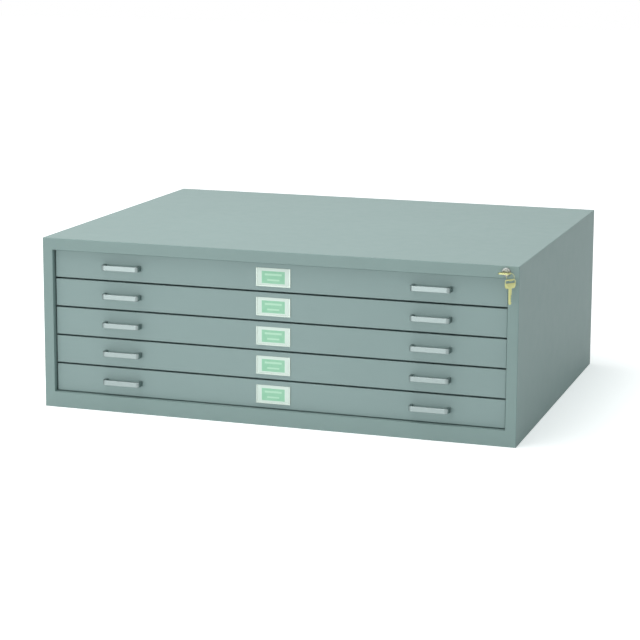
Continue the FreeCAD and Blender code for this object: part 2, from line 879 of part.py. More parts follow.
def make_lock_housing():
    centre = (lock_x, lock_z)
    bezel_span = (case_front - size("bezel_height"), case_front)
    bezel = cylinder("lock_bezel", "y", centre, bezel_span, size("bezel_radius"))
    barrel_span = (case_front, barrel_back)
    barrel = cylinder("lock_barrel", "y", centre, barrel_span, size("barrel_radius"))
    bore_span = (bezel_span[0] - 1, barrel_back + 1)
    bore_radius = size("plug_radius") + size("plug_fit")
    bore = cylinder("lock_bore", "y", centre, bore_span, bore_radius)
    housing = cut("lock_barrel_bored", fuse("lock_barrel_blank", [bezel, barrel]), bore)
    nut = doc.addObject("Part::Prism", "lock_nut_blank")
    nut.Polygon = 6
    bind(nut, "Circumradius", size("nut_radius"))
    bind(nut, "Height", size("nut_height"))
    start = case_front + case_sheet
    turned(nut, "y", centre, start)
    thread_span = (start - 1, start + size("nut_height") + 1)
    thread_radius = size("barrel_radius") + size("plug_fit")
    thread = cylinder("lock_nut_thread", "y", centre, thread_span, thread_radius)
    finish(group("lock_housing", [housing, cut("lock_nut", nut, thread)]), "lock_housing")


def make_lock_plug():
    """The part that the key turns, and the cam behind it with its crank pin."""
    centre = (lock_x, lock_z)
    solid = cylinder("plug_solid", "y", centre, (plug_front, cam_front), size("plug_radius"))
    play = size("key_play")
    half_width = size("blade_width") / 2 + play
    half_height = size("key_thickness") / 2 + play
    keyway = box(
        "plug_keyway",
        (lock_x - half_width, lock_x + half_width),
        (plug_front - 1, plug_front + size("blade_length") + size("key_play")),
        (lock_z - half_height, lock_z + half_height),
    )
    plug = cut("plug", solid, keyway)
    disc = cylinder("cam_disc", "y", centre, (cam_front, cam_back), size("cam_radius"))
    pin_centre = (lock_x + crank_reach, lock_z + crank_reach)
    pin_span = (cam_back, bar_back + size("lug_clearance"))
    pin = cylinder("cam_pin", "y", pin_centre, pin_span, size("crank_pin_radius"))
    finish(group("lock_plug", [plug, fuse("cam", [disc, pin])]), "lock_plug")


def make_lock_bar():
    """A comb behind the right stile: one lug over each drawer's strike, and a head on the crank."""
    body = new_body("lock_bar")
    lug_left = bar_left - size("lug_reach")
    strike_top = size("strike_level") + size("strike_height")
    head_half = size("crank_pin_radius") + size("crank_slot_play") * 2
    head_z = lock_z + crank_reach
    slot_x = (
        lock_x + crank_reach - size("crank_pin_radius") - size("crank_slot_play"),
        lock_x + size("crank_radius") + size("crank_pin_radius") + size("crank_slot_play"),
    )
    head_left = slot_x[0] - size("bar_sheet") / 2
    head_low = head_z - head_half - size("bar_sheet") / 2
    head_high = head_z + head_half + size("bar_sheet") / 2
    bottom = cell(DRAWER_COUNT) + strike_top - size("strike_height")
    points = [(bar_right, bottom), (bar_right, head_high), (head_left, head_high)]
    points += [(head_left, head_low), (bar_left, head_low)]
    for number in range(1, DRAWER_COUNT + 1):
        low = cell(number) + strike_top + size("lug_clearance")
        high = low + size("lug_height")
        points += [(bar_left, high), (lug_left, high), (lug_left, low), (bar_left, low)]
    points.append((bar_left, bottom))
    comb = sketch_on(body, "lock_bar_comb", "XZ_Plane", bar_front)
    polygon(comb, points)
    pad(body, comb, size("bar_sheet"))
    slot = sketch_on(body, "lock_bar_slot", "XZ_Plane", bar_front)
    half = size("crank_pin_radius") + size("crank_slot_play")
    rectangle(slot, slot_x, (head_z - half, head_z + half))
    pocket(body, slot, size("bar_sheet") * 2)
    finish(body, "lock_bar")


def make_key_blank(name, blade_length):
    """A flat key on its own axis: the blade points to +Y, and the bow ends at -Y."""
    body = new_body(name)
    half_bow = size("bow_width") / 2
    half_blade = size("blade_width") / 2
    bow_front = -size("neck_length")
    bow_end = bow_front - size("bow_length")
    thickness = size("key_thickness")
    outline = sketch_on(body, name + "_outline", "XY_Plane", -thickness / 2)
    notch = half_blade / 2
    step = blade_length / 6
    shoulder = blade_length - size("blade_point")
    polygon(outline, [
        (-half_bow, bow_end), (half_bow, bow_end), (half_bow, bow_front),
        (half_blade, bow_front), (half_blade, step * 2), (notch, step * 2.5),
        (half_blade, step * 3), (half_blade, step * 3.5), (notch, step * 4),
        (half_blade, step * 4.5), (half_blade, shoulder),
        (half_blade - size("blade_point") / 2, blade_length),
        (size("blade_point") / 2 - half_blade, blade_length), (-half_blade, shoulder),
        (-half_blade, bow_front), (-half_bow, bow_front),
    ])
    blank = pad(body, outline, thickness)

    def bow_corner(low, high):
        side = near(abs(low[0]), half_bow) and near(abs(high[0]), half_bow)
        upright = high[2] - low[2] > 0.5 * thickness.value
        return side and upright and near(low[0], high[0])

    rounded = round_edges(body, blank, size("bow_radius"), bow_corner)
    slot = sketch_on(body, name + "_slot", "XY_Plane", thickness / 2)
    half_slot = half_bow - size("bow_side_rim")
    slot_low = bow_end + size("bow_rim")
    rectangle(slot, (-half_slot, half_slot), (slot_low, slot_low + size("bow_slot")))
    pocket(body, slot, thickness * 2)
    return body


def make_key():
    body = make_key_blank("key", size("blade_length") - size("key_play"))
    bind(body, "Placement.Base.x", lock_x)
    bind(body, "Placement.Base.y", plug_front)
    finish(body, "key", lock_z)


def make_key_ring():
    """A ring round the end of the key's bow, with a spare key hanging from it."""
    rim_x = lock_x + size("bow_width") / 2 - size("bow_side_rim") / 2
    bow_end = size("neck_length") + size("bow_length")
    ring_y = plug_front - bow_end + size("bow_rim") + size("bow_slot") / 2
    ring_z = lock_z - size("ring_radius") + size("ring_wire") + size("ring_slack")
    ring = doc.addObject("Part::Torus", "ring")
    bind(ring, "Radius1", size("ring_radius"))
    bind(ring, "Radius2", size("ring_wire"))
    turned(ring, "y", (rim_x, ring_z), ring_y)
    spare = make_key_blank("spare_key", size("spare_blade_length"))
    upright = FreeCAD.Rotation(FreeCAD.Vector(1, 0, 0), -90)
    turn = FreeCAD.Rotation(FreeCAD.Vector(0, 0, 1), size("spare_turn").value)
    spare.Placement.Rotation = turn.multiply(upright)
    rests_on = ring_z - size("ring_radius") + size("ring_wire") + size("side_play")
    bind(spare, "Placement.Base.x", rim_x)
    bind(spare, "Placement.Base.y", ring_y)
    bind(spare, "Placement.Base.z", rests_on - bow_end + size("bow_rim"))
    finish(group("key_ring", [ring, spare]), "key_ring")


make_case_wrapper()
make_back_panel()
make_base_pan()
make_interior_uprights()
make_case_runners()
for number in range(1, DRAWER_COUNT + 1):
    lift = cell(number)
    make_rollers(f"front_rollers_{number}", front_axle, lift)
    drawer = f"drawer_{number}_"
    make_pan(drawer + "pan", lift)
    make_front(drawer + "front", lift)
    make_pulls(drawer + "pulls", lift)
    make_label_holder(drawer + "label_holder", lift)
    make_label_card(drawer + "label_card", lift)
    make_rear_hood(drawer + "rear_hood", lift)
    make_depressor(drawer + "depressor", lift)
    make_rollers(drawer + "rear_rollers", rear_axle, lift)
    make_fixings(drawer + "fixings", lift)
make_lock_housing()
make_lock_plug()
make_lock_bar()
make_key()
make_key_ring()

doc.recompute()
for item in doc.Objects:
    if "Invalid" in item.State or "Error" in item.State:
        raise RuntimeError(f"{item.Name} failed: {item.State}")
for item in finished:
    if item.Shape.isNull() or not item.Shape.isValid():
        raise RuntimeError(f"{item.Label} has no valid shape")
for item in finished:
    item.Shape.exportStep(f"parts/{item.Label}.step")
    print(item.Label, len(item.Shape.Solids), round(item.Shape.Volume / 1000, 2))
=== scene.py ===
import json
import math

import bmesh
import bpy
from mathutils import Matrix, Vector


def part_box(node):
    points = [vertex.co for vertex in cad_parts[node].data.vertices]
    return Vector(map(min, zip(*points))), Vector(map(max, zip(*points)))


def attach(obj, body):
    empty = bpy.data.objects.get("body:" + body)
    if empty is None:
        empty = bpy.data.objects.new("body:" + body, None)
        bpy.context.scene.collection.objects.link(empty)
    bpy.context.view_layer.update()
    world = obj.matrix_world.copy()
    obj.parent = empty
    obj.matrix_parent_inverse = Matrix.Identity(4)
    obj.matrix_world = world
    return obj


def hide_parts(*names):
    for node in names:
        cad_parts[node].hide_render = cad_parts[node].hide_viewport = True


# A grey steel flat file with five drawers, as in the photograph, on a white ground.
# Lengths are in metres in the frame of the model: +X right, +Z up, drawers open to -Y. Only the
# measures of turned, bent and stamped pieces are in millimetres, and mm scales them.

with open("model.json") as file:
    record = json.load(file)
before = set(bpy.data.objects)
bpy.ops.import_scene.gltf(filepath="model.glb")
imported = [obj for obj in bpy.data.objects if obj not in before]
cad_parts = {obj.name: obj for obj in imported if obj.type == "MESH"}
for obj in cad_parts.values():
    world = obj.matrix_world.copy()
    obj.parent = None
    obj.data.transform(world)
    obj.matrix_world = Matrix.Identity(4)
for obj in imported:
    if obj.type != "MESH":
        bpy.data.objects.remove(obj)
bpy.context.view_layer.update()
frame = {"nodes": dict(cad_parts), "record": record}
nodes = frame["nodes"]
drawerCount = 5
drawers = range(1, drawerCount + 1)
mm = 0.001
inch = 25.4 * mm
near = 0.1 * mm  # points closer than this count as level with each other


# Materials.

# Turns an sRGB hex colour into the linear one that shaders take, made lighter or darker.
def linear(code, factor=1.0):
    channels = [int(code[i:i + 2], 16) / 255 for i in (0, 2, 4)]
    bent = [c / 12.92 if c <= 0.04045 else ((c + 0.055) / 1.055) ** 2.4 for c in channels]
    return (*(min(1.0, c * factor) for c in bent), 1.0)


# Adds a shader node and gives one of its outputs. An input is a value, or the output that
# feeds it.
def addNode(tree, kind, inputs=None, output=0, **settings):
    node = tree.nodes.new("ShaderNode" + kind)
    for name, value in settings.items():
        setattr(node, name, value)
    for key, value in (inputs or {}).items():
        socket = node.inputs[key]
        if isinstance(value, bpy.types.NodeSocket):
            tree.links.new(value, socket)
        else:
            socket.default_value = value
    return node.outputs[output] if node.outputs else None


def newMaterial(name):
    material = bpy.data.materials.new(name)
    material.use_nodes = True
    material.node_tree.nodes.clear()
    return material


edgeLook = {"samples": 4, "matchNone": 0.995, "matchFull": 0.8}


# A normal that rolls round sharp edges, and how close a point is to one: 0 on a flat
# face, towards 1 on the edge.
def softEdge(tree, radius):
    rolled = addNode(tree, "Bevel", {"Radius": radius}, samples=edgeLook["samples"])
    plain = addNode(tree, "NewGeometry", output="Normal")
    match = addNode(tree, "VectorMath", {0: rolled, 1: plain}, "Value", operation="DOT_PRODUCT")
    share = addNode(tree, "MapRange", {
        "Value": match, "From Min": edgeLook["matchNone"], "From Max": edgeLook["matchFull"],
    })
    return rolled, share


enamelLook = {
    "cloudSize": 160 * mm,
    "cloudShade": 0.03,
    "speckSize": 0.9 * mm,
    "speckFrom": 0.72,
    "speckTo": 0.8,
    "speckShare": 0.12,
    "speckShade": 0.7,
    "ior": 1.5,
    "specular": 0.22,
    "roughness": 0.48,
    "glossSize": 30 * mm,
    "glossLow": -0.05,
    "glossHigh": 0.06,
    "peelSize": 1.6 * mm,
    "peelHeight": 0.012 * mm,
    "edge": 0.9 * mm,
    "wearSize": 9 * mm,
    "wearShare": 0.5,
    "wearShade": 1.35,
}


# Stoved enamel, sprayed on sheet steel and baked. It gives the eye a low even gloss with faint
# orange peel, a few specks, and a paler line on the edges, where the coat is thin.
def enamel(name, code):
    look = enamelLook
    material = newMaterial(name)
    tree = material.node_tree
    place = addNode(tree, "TexCoord", output="Object")
    cloud = addNode(tree, "TexNoise", {
        "Vector": place, "Scale": 1 / look["cloudSize"], "Detail": 3.0,
    })
    clouded = addNode(tree, "Mix", {
        0: cloud, 6: linear(code, 1 - look["cloudShade"]), 7: linear(code, 1 + look["cloudShade"]),
    }, 2, data_type="RGBA")
    dust = addNode(tree, "TexNoise", {
        "Vector": place, "Scale": 1 / look["speckSize"], "Detail": 1.0,
    })
    speck = addNode(tree, "MapRange", {
        "Value": dust, "From Min": look["speckFrom"], "From Max": look["speckTo"],
        "To Max": look["speckShare"],
    })
    specked = addNode(tree, "Mix", {
        0: speck, 6: clouded, 7: linear(code, look["speckShade"]),
    }, 2, data_type="RGBA")
    rolled, edge = softEdge(tree, look["edge"])
    patches = addNode(tree, "TexNoise", {"Vector": place, "Scale": 1 / look["wearSize"]})
    thin = addNode(tree, "MapRange", {"Value": patches, "To Max": look["wearShare"]})
    worn = addNode(tree, "Math", {0: edge, 1: thin}, operation="MULTIPLY")
    colour = addNode(tree, "Mix", {
        0: worn, 6: specked, 7: linear(code, look["wearShade"]),
    }, 2, data_type="RGBA")
    haze = addNode(tree, "TexNoise", {
        "Vector": place, "Scale": 1 / look["glossSize"], "Detail": 4.0,
    })
    gloss = addNode(tree, "MapRange", {
        "Value": haze, "To Min": look["glossLow"], "To Max": look["glossHigh"],
    })
    rough = addNode(tree, "Math", {0: gloss, 1: look["roughness"]}, operation="ADD")
    peel = addNode(tree, "TexNoise", {"Vector": place, "Scale": 1 / look["peelSize"]})
    bump = addNode(tree, "Bump", {
        "Height": peel, "Distance": look["peelHeight"], "Strength": 1.0, "Normal": rolled,
    })
    shader = addNode(tree, "BsdfPrincipled", {
        "Base Color": colour,
        "Roughness": rough,
        "IOR": look["ior"],
        "Specular IOR Level": look["specular"],
        "Normal": bump,
    })
    addNode(tree, "OutputMaterial", {"Surface": shader})
    return material


metalLook = {
    "grain": 0.25 * mm,  # real brush lines are about 0.05 mm wide, too fine to show
    "stretch": 40.0,
    "scratchDepth": 0.004 * mm,
    "scratchShare": 0.8,
    "tarnishSize": 7 * mm,
    "tarnishShare": 0.8,
    "tarnishShade": 0.82,
    "edge": 0.35 * mm,
    # how much brighter the edges are painted, a painted highlight
    "paintedEdgeHighlight": 1.15,
    "roughLow": -0.05,
    "roughHigh": 0.07,
}


# Metal, bare or plated, with a fine grain that is drawn out along the named axes. It gives the
# eye streaks, clouds of tarnish, and a painted highlight, a bright line on the edges.
def metal(name, code, roughness, along="", dull=0.0):
    look = metalLook
    material = newMaterial(name)
    tree = material.node_tree
    place = addNode(tree, "TexCoord", output="Object")
    scale = [1 / look["stretch"] if axis in along else 1.0 for axis in "XYZ"]
    drawn = addNode(tree, "Mapping", {"Vector": place, "Scale": scale})
    grain = addNode(tree, "TexNoise", {
        "Vector": drawn, "Scale": 1 / look["grain"], "Detail": 3.0,
    })
    smear = addNode(tree, "TexNoise", {
        "Vector": place, "Scale": 1 / look["tarnishSize"], "Detail": 3.0,
    })
    tarnish = addNode(tree, "MapRange", {"Value": smear, "To Max": look["tarnishShare"]})
    tarnished = addNode(tree, "Mix", {
        0: tarnish, 6: linear(code), 7: linear(code, look["tarnishShade"] - dull),
    }, 2, data_type="RGBA")
    rolled, edge = softEdge(tree, look["edge"])
    # The edges are painted brighter: a painted highlight, not a colour of the metal.
    colour = addNode(tree, "Mix", {
        0: edge, 6: tarnished, 7: linear(code, look["paintedEdgeHighlight"]),
    }, 2, data_type="RGBA")
    bump = addNode(tree, "Bump", {
        "Height": grain, "Distance": look["scratchDepth"], "Strength": look["scratchShare"],
        "Normal": rolled,
    })
    rough = addNode(tree, "MapRange", {
        "Value": grain, "To Min": roughness + look["roughLow"],
        "To Max": roughness + look["roughHigh"],
    })
    shader = addNode(tree, "BsdfPrincipled", {
        "Base Color": colour, "Metallic": 1.0, "Roughness": rough, "Normal": bump,
    })
    addNode(tree, "OutputMaterial", {"Surface": shader})
    return material


cardLook = {
    "paper": "E3F1E8",
    "paperShade": 0.93,
    "fibre": 0.5 * mm,  # real fibres are finer than 0.05 mm, too fine to show
    "fibreHeight": 0.02 * mm,
    "fibreShare": 0.6,
    "ink": "93D0AC",
    "inkLeast": 0.75,
    "blotch": 9 * mm,
    "panelHalfWidth": 28.5 * mm,
    "panelHalfHeight": 14.5 * mm,
    "blur": 0.35 * mm,
    "bar": "BFE6CC",
    # half length, half height and height above the middle of the two plain bars
    "bars": ((21.0 * mm, 2.2 * mm, 6.5 * mm), (15.0 * mm, 1.8 * mm, -6.5 * mm)),
    "roughness": 0.85,
    "specular": 0.3,
}


# 1 within a rectangle of these half sizes, 0 outside it.
def panelMask(tree, across, upward, halfWidth, halfHeight, level):
    shifted = addNode(tree, "Math", {0: upward, 1: level}, operation="SUBTRACT")
    shares = []
    for value, half in ((across, halfWidth), (shifted, halfHeight)):
        reach = addNode(tree, "Math", {0: value}, operation="ABSOLUTE")
        shares.append(addNode(tree, "MapRange", {
            "Value": reach, "From Min": half, "From Max": half + cardLook["blur"],
            "To Min": 1.0, "To Max": 0.0,
        }))
    return addNode(tree, "Math", {0: shares[0], 1: shares[1]}, operation="MULTIPLY")


# Uncoated printed card. It gives the eye a matt pale border round a slightly uneven green
# panel with two plain bars. The pattern is repeated at the pitch of the drawers.
def printedCard(name):
    look = cardLook
    material = newMaterial(name)
    tree = material.node_tree
    place = addNode(tree, "TexCoord", output="Object")
    low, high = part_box("drawer_1_label_holder")
    middle = (low.z + high.z) / 2
    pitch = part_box("drawer_1_front")[0].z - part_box("drawer_2_front")[0].z
    parts = addNode(tree, "SeparateXYZ", {0: place}).node.outputs
    across = parts["X"]
    wrapped = addNode(tree, "Math", {
        0: parts["Z"], 1: middle - pitch / 2, 2: middle + pitch / 2,
    }, operation="WRAP")
    upward = addNode(tree, "Math", {0: wrapped, 1: middle}, operation="SUBTRACT")
    fibre = addNode(tree, "TexNoise", {
        "Vector": place, "Scale": 1 / look["fibre"], "Detail": 4.0,
    })
    colour = addNode(tree, "Mix", {
        0: fibre, 6: linear(look["paper"]), 7: linear(look["paper"], look["paperShade"]),
    }, 2, data_type="RGBA")
    patches = addNode(tree, "TexNoise", {
        "Vector": place, "Scale": 1 / look["blotch"], "Detail": 3.0,
    })
    blotch = addNode(tree, "MapRange", {"Value": patches, "To Min": look["inkLeast"]})
    panel = panelMask(
        tree, across, upward, look["panelHalfWidth"], look["panelHalfHeight"], 0.0,
    )
    inked = addNode(tree, "Math", {0: panel, 1: blotch}, operation="MULTIPLY")
    colour = addNode(tree, "Mix", {
        0: inked, 6: colour, 7: linear(look["ink"]),
    }, 2, data_type="RGBA")
    for halfWidth, halfHeight, level in look["bars"]:
        bar = panelMask(tree, across, upward, halfWidth, halfHeight, level)
        colour = addNode(tree, "Mix", {
            0: bar, 6: colour, 7: linear(look["bar"]),
        }, 2, data_type="RGBA")
    bump = addNode(tree, "Bump", {
        "Height": fibre, "Distance": look["fibreHeight"], "Strength": look["fibreShare"],
    })
    shader = addNode(tree, "BsdfPrincipled", {
        "Base Color": colour,
        "Roughness": look["roughness"],
        "Specular IOR Level": look["specular"],
        "Normal": bump,
    })
    addNode(tree, "OutputMaterial", {"Surface": shader})
    return material


finishes = {
    # Case and drawers wear one grey. The case's copy is mixed a little darker, which is painted
    # shade.
    "case_enamel": enamel("greyCaseEnamelPaintedShade", "8A9F9C"),
    "drawer_enamel": enamel("greyDrawerEnamel", "90A4A2"),
    # Nickel plate over brushed steel, a wide soft glint.
    "pull_nickel": metal("satinNickelPull", "929E9D", 0.38, along="X"),
    # Nickel plate over buffed brass, a small sharp glint.
    "lock_nickel": metal("brightNickelLock", "8C8F8C", 0.26),
    # Satin plated pressed steel, pale and even.
    "label_frame": metal("platedLabelFrame", "B2BEB6", 0.42, along="X"),
    "label_card": printedCard("printedLabelCard"),
    # Zinc plate over rolled steel, grey streaks without a glint.
    "bare_steel": metal("zincPlatedSteel", "A9ADAC", 0.4, along="Y"),
    # Bare steel ground all round, dark and shiny.
    "roller_steel": metal("groundSteelRoller", "8F9394", 0.25),
    # Stamped brass worn by hands, a pale yellow with dull patches.
    "key_brass": metal("wornKeyBrass", "C3C48C", 0.3, dull=0.1),
}
for row in frame["record"]["subparts"]:
    mesh = nodes[row["node"]].data
    mesh.materials.clear()
    mesh.materials.append(finishes[row["material_slot"]])
print("materials", len(finishes))


# Shapes.

pieceLook = {"merge": 0.001 * mm, "sharpAngle": 32.0}


# Turns the faces outwards, hands the piece to its body and hides what it stands for.
def addPiece(name, shape, body, slot, *replaced):
    bmesh.ops.remove_doubles(shape, verts=shape.verts, dist=pieceLook["merge"])
    bmesh.ops.recalc_face_normals(shape, faces=shape.faces)
    mesh = bpy.data.meshes.new(name)
    shape.to_mesh(mesh)
    shape.free()
    mesh.shade_smooth()
    mesh.set_sharp_from_angle(angle=math.radians(pieceLook["sharpAngle"]))
    mesh.materials.append(finishes[slot])
    piece = bpy.data.objects.new(name, mesh)
    bpy.context.scene.collection.objects.link(piece)
    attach(piece, body)
    if replaced:
        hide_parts(*replaced)


# Moves one shape into another.
def joinShape(shape, part):
    passing = bpy.data.meshes.new("passing")
    part.to_mesh(passing)
    part.free()
    shape.from_mesh(passing)
    bpy.data.meshes.remove(passing)


def roundEdges(shape, edges, radius, segments):
    bmesh.ops.bevel(
        shape, geom=edges, offset=radius, offset_type="OFFSET", segments=segments, profile=0.5,
        affect="EDGES", material=-1,
    )


# A ball, or a button when it is flattened along X. Sides are those around and upward.
def addBall(shape, radius, sides, place, flat=1.0):
    verts = bmesh.ops.create_uvsphere(
        shape, u_segments=sides[0], v_segments=sides[1], radius=radius,
    )["verts"]
    bmesh.ops.scale(shape, verts=verts, vec=(flat, 1, 1))
    bmesh.ops.translate(shape, verts=verts, vec=place)


# Spins a profile of (radius, level) points in millimetres full circle about an axis. One
# that starts on the axis also ends on it, and any other is closed.
def spinRound(shape, profile, centre, axis, steps):
    centre = Vector(centre)
    axis = Vector(axis)
    across = Vector((0, 0, 1))
    verts = [shape.verts.new(centre + (across * r + axis * level) * mm) for r, level in profile]
    edges = [shape.edges.new(pair) for pair in zip(verts, verts[1:])]
    if profile[0][0] > 0:
        edges.append(shape.edges.new((verts[-1], verts[0])))
    bmesh.ops.spin(
        shape, geom=verts + edges, cent=centre, axis=axis, angle=2 * math.pi, steps=steps,
        use_merge=True,
    )


# Where the crest and the two ends of the root lie in each turn of a thread, as shares of it.
threadLook = {"crest": 0.3, "rootFrom": 0.55, "rootTo": 0.75}


# The ridges of a thread as profile points, from one level to another.
def threadPoints(crest, root, start, end, pitch):
    points = []
    for turn in range(int((end - start) / pitch)):
        level = start + turn * pitch
        points += [
            (crest, level + pitch * threadLook["crest"]),
            (root, level + pitch * threadLook["rootFrom"]),
            (root, level + pitch * threadLook["rootTo"]),
        ]
    return points


# A flat loop of (u, v, radius) corners in millimetres, with the corners rounded.
def roundedLoop(corners, steps=6):
    loop = []
    for index, (u, v, radius) in enumerate(corners):
        corner = Vector((u, v))
        if radius == 0:
            loop.append(corner)
            continue
        before = (Vector(corners[index - 1][:2]) - corner).normalized()
        after = (Vector(corners[(index + 1) % len(corners)][:2]) - corner).normalized()
        half = before.angle(after) / 2
        middle = corner + (before + after).normalized() * (radius / math.sin(half))
        start = corner + before * (radius / math.tan(half)) - middle
        end = corner + after * (radius / math.tan(half)) - middle
        swing = math.pi - 2 * half
        for step in range(steps + 1):
            share = step / steps
            loop.append(middle + (
                start * math.sin((1 - share) * swing) + end * math.sin(share * swing)
            ) / math.sin(swing))
    return loop


# Rollers: ball bearing rollers with a crowned tyre and a riveted shield on each side.
rollerLook = {
    "width": 10.0,
    "bore": 3.05,
    "hub": 4.6,
    "hubSetback": 0.5,
    "shield": 7.1,
    "recess": 1.2,
    "chamfer": 0.2,
    "crown": 0.5,
    "crownShare": 0.3,
    "steps": 36,
    "rivets": 6,
    "rivetRadius": 0.55,
    "rivetSides": (10, 6),
}


def rollerShape(shape, side, low, high):
    look = rollerLook
    width = look["width"]
    hub = look["hub"]
    shield = look["shield"]
    recess = look["recess"]
    chamfer = look["chamfer"]
    crown = look["crown"]
    bulge = crown * look["crownShare"]
    radius = (high.z - low.z) / 2 / mm
    profile = [
        (look["bore"], look["hubSetback"]), (hub - chamfer, look["hubSetback"]),
        (hub, look["hubSetback"] + chamfer), (hub, recess),
        (shield, recess), (shield, chamfer), (shield + chamfer, 0.0),
        (radius - crown, 0.0), (radius - bulge, bulge), (radius, crown),
    ]
    profile += [(r, width - level) for r, level in reversed(profile)]
    start = Vector((side * (high.x - width * mm), (low.y + high.y) / 2, (low.z + high.z) / 2))
    spinRound(shape, profile, start, (side, 0, 0), look["steps"])
    ring = (hub + shield) / 2 * mm
    for level in (recess, width - recess):
        for index in range(look["rivets"]):
            turn = 2 * math.pi * index / look["rivets"]
            away = Vector((side * level * mm, ring * math.sin(turn), ring * math.cos(turn)))
            addBall(shape, look["rivetRadius"] * mm, look["rivetSides"], start + away)


def makeRollers(node, body, name):
    low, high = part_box(node)
    shape = bmesh.new()
    for side in (-1, 1):
        rollerShape(shape, side, low, high)
    addPiece(name, shape, body, "roller_steel", node)


for number in drawers:
    makeRollers(f"front_rollers_{number}", f"front_rollers_{number}", f"caseBearings_{number}")
    makeRollers(
        f"drawer_{number}_rear_rollers", f"rear_rollers_{number}", f"drawerBearings_{number}",
    )
print("rollers", drawerCount * 4)


# Fixings of a drawer: headed roller axles, hinge pins, and pan head screws for the pulls. The
# ends are profiles of (radius, level) points.
fixingLook = {
    "axleLength": 13.5,
    "axleRadius": 3.0,
    "axleCollar": [(0, 0), (4.5, 0), (4.5, 1.7), (4.2, 2.0)],
    "axleHead": [
        (4.3, 12.4), (4.5, 12.6), (4.5, 13.0), (4.0, 13.4), (3.1, 13.5), (1.6, 13.45),
        (1.2, 13.0), (0, 12.9),
    ],
    "axleSteps": 36,
    "pinLength": 29.0,
    "pinRadius": 1.5,
    "pinChamfer": 0.3,
    "pinGap": 1.0,
    "pinSteps": 16,
    "knuckleRadius": 3.2,
    "screwRadius": 2.0,
    "screwReach": 9.0,
    "screwPoint": 0.6,
    "screwNeck": 0.8,
    "screwHead": [
        (3.6, 0), (3.6, 0.9), (3.2, 1.8), (2.2, 2.4), (1.3, 2.4), (1.0, 1.2), (0, 1.0),
    ],
    "screwSteps": 20,
    "threadDepth": 0.3,
    "threadPitch": 0.7,
    "threadEnd": -1.0,
    "pullLength": 96.0,
    "pullLeg": 7.0,
    "frontSheet": 1.2,
}


def makeFixings(number):
    look = fixingLook
    node = f"drawer_{number}_fixings"
    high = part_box(node)[1]
    rollerLow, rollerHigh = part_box(f"drawer_{number}_rear_rollers")
    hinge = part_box(f"drawer_{number}_depressor")[0]
    pullLow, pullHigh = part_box(f"drawer_{number}_pulls")
    shape = bmesh.new()
    stud = look["axleRadius"]
    collar = look["axleCollar"]
    head = look["axleHead"]
    axle = collar + [(stud, collar[-1][1]), (stud, head[0][1])] + head
    end = look["pinLength"]
    pinRadius = look["pinRadius"]
    chamfer = look["pinChamfer"]
    pin = [
        (0, 0), (pinRadius - chamfer, 0), (pinRadius, chamfer), (pinRadius, end - chamfer),
        (pinRadius - chamfer, end), (0, end),
    ]
    wall = high.x - look["axleLength"] * mm
    for side in (-1, 1):
        axlePlace = (
            side * wall, (rollerLow.y + rollerHigh.y) / 2, (rollerLow.z + rollerHigh.z) / 2,
        )
        spinRound(shape, axle, axlePlace, (side, 0, 0), look["axleSteps"])
        pinPlace = (
            side * (wall - (end + look["pinGap"]) * mm),
            hinge.y + look["knuckleRadius"] * mm,
            hinge.z + look["knuckleRadius"] * mm,
        )
        spinRound(shape, pin, pinPlace, (side, 0, 0), look["pinSteps"])
    thread = look["screwRadius"]
    tip = -look["screwReach"]
    screw = [(0, tip), (thread - look["screwPoint"], tip)]
    screw += threadPoints(
        thread, thread - look["threadDepth"], tip + look["screwPoint"], look["threadEnd"],
        look["threadPitch"],
    )
    screw += [(thread, -look["screwNeck"]), (thread, 0)] + look["screwHead"]
    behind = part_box(f"drawer_{number}_front")[0].y + look["frontSheet"] * mm
    outer = pullHigh.x - look["pullLeg"] / 2 * mm
    inner = pullHigh.x - (look["pullLength"] - look["pullLeg"] / 2) * mm
    for x in (-outer, -inner, inner, outer):
        screwPlace = (x, behind, (pullLow.z + pullHigh.z) / 2)
        spinRound(shape, screw, screwPlace, (0, 1, 0), look["screwSteps"])
    addPiece(f"drawerFixings_{number}", shape, f"drawer_{number}", "bare_steel", node)


for number in drawers:
    makeFixings(number)
print("fixings", drawerCount)


# Pan hems: the top edges of a pan's sides and front, rolled inwards in one strip.
hemLook = {"width": 3.6, "height": 3.0, "soft": 1.3, "segments": 3, "wall": 1.0}


def makeHems(number):
    look = hemLook
    panLow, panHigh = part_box(f"drawer_{number}_pan")
    hoodLow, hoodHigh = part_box(f"drawer_{number}_rear_hood")
    wall = hoodHigh.x - 2 * look["wall"] * mm
    inner = wall - look["width"] * mm
    front = panLow.y + look["wall"] * mm
    behind = front + look["width"] * mm
    back = hoodLow.y
    corners = [
        (-wall, back), (-wall, front), (wall, front), (wall, back),
        (inner, back), (inner, behind), (-inner, behind), (-inner, back),
    ]
    shape = bmesh.new()
    strip = shape.faces.new([shape.verts.new((x, y, panHigh.z)) for x, y in corners])
    grown = bmesh.ops.extrude_face_region(shape, geom=[strip])["geom"]
    lowered = [item for item in grown if isinstance(item, bmesh.types.BMVert)]
    bmesh.ops.translate(shape, verts=lowered, vec=(0, 0, -look["height"] * mm))
    rims = [edge for edge in shape.edges if abs(edge.verts[0].co.z - edge.verts[1].co.z) < near]
    roundEdges(shape, rims, look["soft"] * mm, look["segments"])
    addPiece(f"panHems_{number}", shape, f"drawer_{number}", "drawer_enamel")


for number in drawers:
    makeHems(number)
print("pan hems", drawerCount)


# Rivets that hold the runners to the posts, two to a post.
rivetLook = {
    "radius": 3.2,
    "height": 1.3,
    "sides": (16, 10),
    "apart": 16.0,
    "postWidth": 32.0,
    "web": 1.5,
}


